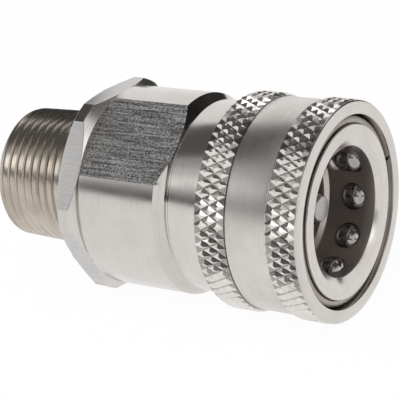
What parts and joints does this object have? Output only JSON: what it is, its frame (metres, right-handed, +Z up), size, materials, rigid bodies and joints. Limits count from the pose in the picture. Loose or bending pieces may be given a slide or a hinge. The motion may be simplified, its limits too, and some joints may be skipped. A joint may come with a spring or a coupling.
{
  "type": "hydraulic quick coupler",
  "caption": "Female hydraulic quick coupler with a spring-loaded knurled locking sleeve, ball lock, poppet valve and a male tapered pipe thread behind a hexagon flange.",
  "frame": {"origin": "on the axis at the flange's shoulder, where the male pipe thread starts", "axes": "+X along the axis towards the mouth, +Z up with the coupler lying on its side, a pair of the flange's flats facing up and down, +Y completes a right-handed frame"},
  "size_m": [0.0717, 0.0414, 0.0408],
  "materials": {
    "adaptor_steel": "turned, satin",
    "body_steel": "turned and polished",
    "sleeve_steel": "turned and knurled",
    "spring_steel": "drawn wire",
    "valve_steel": "turned",
    "seal_rubber": "moulded",
    "backup_plastic": "matt",
    "ball_steel": "polished"
  },
  "bodies": {
    "coupler": {"end_adaptor": "adaptor_steel", "adaptor_seal": "seal_rubber", "coupler_body": "body_steel", "retaining_ring": "spring_steel", "plug_seal": "seal_rubber", "backup_ring": "backup_plastic", "valve_guide": "valve_steel", "valve_spring": "spring_steel"},
    "spring_coil": {"sleeve_spring": "spring_steel"},
    "sleeve": {"locking_sleeve": "sleeve_steel"},
    "poppet": {"valve_poppet": "valve_steel", "valve_seal": "seal_rubber"},
    "ball_01": {"ball_01": "ball_steel"},
    "ball_02": {"ball_02": "ball_steel"},
    "ball_03": {"ball_03": "ball_steel"},
    "ball_04": {"ball_04": "ball_steel"},
    "ball_05": {"ball_05": "ball_steel"},
    "ball_06": {"ball_06": "ball_steel"},
    "ball_07": {"ball_07": "ball_steel"},
    "ball_08": {"ball_08": "ball_steel"},
    "ball_09": {"ball_09": "ball_steel"},
    "ball_10": {"ball_10": "ball_steel"}
  },
  "joints": [
    {"name": "sleeve_spin", "type": "hinge", "parent": "coupler", "child": "spring_coil", "pos_m": [0.041, 0, 0], "axis": [1, 0, 0], "continuous": true},
    {"name": "sleeve_slide", "type": "slide", "parent": "spring_coil", "child": "sleeve", "axis": [-1, 0, 0], "range_m": [0, 0.005], "stiffness_N_per_m": 2000, "springref_m": -0.008, "deforming": ["sleeve_spring"]},
    {"name": "valve_slide", "type": "slide", "parent": "coupler", "child": "poppet", "axis": [-1, 0, 0], "range_m": [0, 0.005], "stiffness_N_per_m": 1200, "springref_m": -0.006, "deforming": ["valve_spring"]},
    {"name": "ball_01_lift", "type": "slide", "parent": "coupler", "child": "ball_01", "axis": [0, 0.9848, -0.1736], "range_m": [0, 0.0015]},
    {"name": "ball_02_lift", "type": "slide", "parent": "coupler", "child": "ball_02", "axis": [0, 0.8988, 0.4384], "range_m": [0, 0.0015]},
    {"name": "ball_03_lift", "type": "slide", "parent": "coupler", "child": "ball_03", "axis": [0, 0.4695, 0.8829], "range_m": [0, 0.0015]},
    {"name": "ball_04_lift", "type": "slide", "parent": "coupler", "child": "ball_04", "axis": [0, -0.1392, 0.9903], "range_m": [0, 0.0015]},
    {"name": "ball_05_lift", "type": "slide", "parent": "coupler", "child": "ball_05", "axis": [0, -0.6947, 0.7193], "range_m": [0, 0.0015]},
    {"name": "ball_06_lift", "type": "slide", "parent": "coupler", "child": "ball_06", "axis": [0, -0.9848, 0.1736], "range_m": [0, 0.0015]},
    {"name": "ball_07_lift", "type": "slide", "parent": "coupler", "child": "ball_07", "axis": [0, -0.8988, -0.4384], "range_m": [0, 0.0015]},
    {"name": "ball_08_lift", "type": "slide", "parent": "coupler", "child": "ball_08", "axis": [0, -0.4695, -0.8829], "range_m": [0, 0.0015]},
    {"name": "ball_09_lift", "type": "slide", "parent": "coupler", "child": "ball_09", "axis": [0, 0.1392, -0.9903], "range_m": [0, 0.0015]},
    {"name": "ball_10_lift", "type": "slide", "parent": "coupler", "child": "ball_10", "axis": [0, 0.6947, -0.7193], "range_m": [0, 0.0015]}
  ],
  "couplings": [
    {"joint": "ball_01_lift", "follows": "sleeve_slide", "ratio": 0.3},
    {"joint": "ball_02_lift", "follows": "sleeve_slide", "ratio": 0.3},
    {"joint": "ball_03_lift", "follows": "sleeve_slide", "ratio": 0.3},
    {"joint": "ball_04_lift", "follows": "sleeve_slide", "ratio": 0.3},
    {"joint": "ball_05_lift", "follows": "sleeve_slide", "ratio": 0.3},
    {"joint": "ball_06_lift", "follows": "sleeve_slide", "ratio": 0.3},
    {"joint": "ball_07_lift", "follows": "sleeve_slide", "ratio": 0.3},
    {"joint": "ball_08_lift", "follows": "sleeve_slide", "ratio": 0.3},
    {"joint": "ball_09_lift", "follows": "sleeve_slide", "ratio": 0.3},
    {"joint": "ball_10_lift", "follows": "sleeve_slide", "ratio": 0.3}
  ]
}
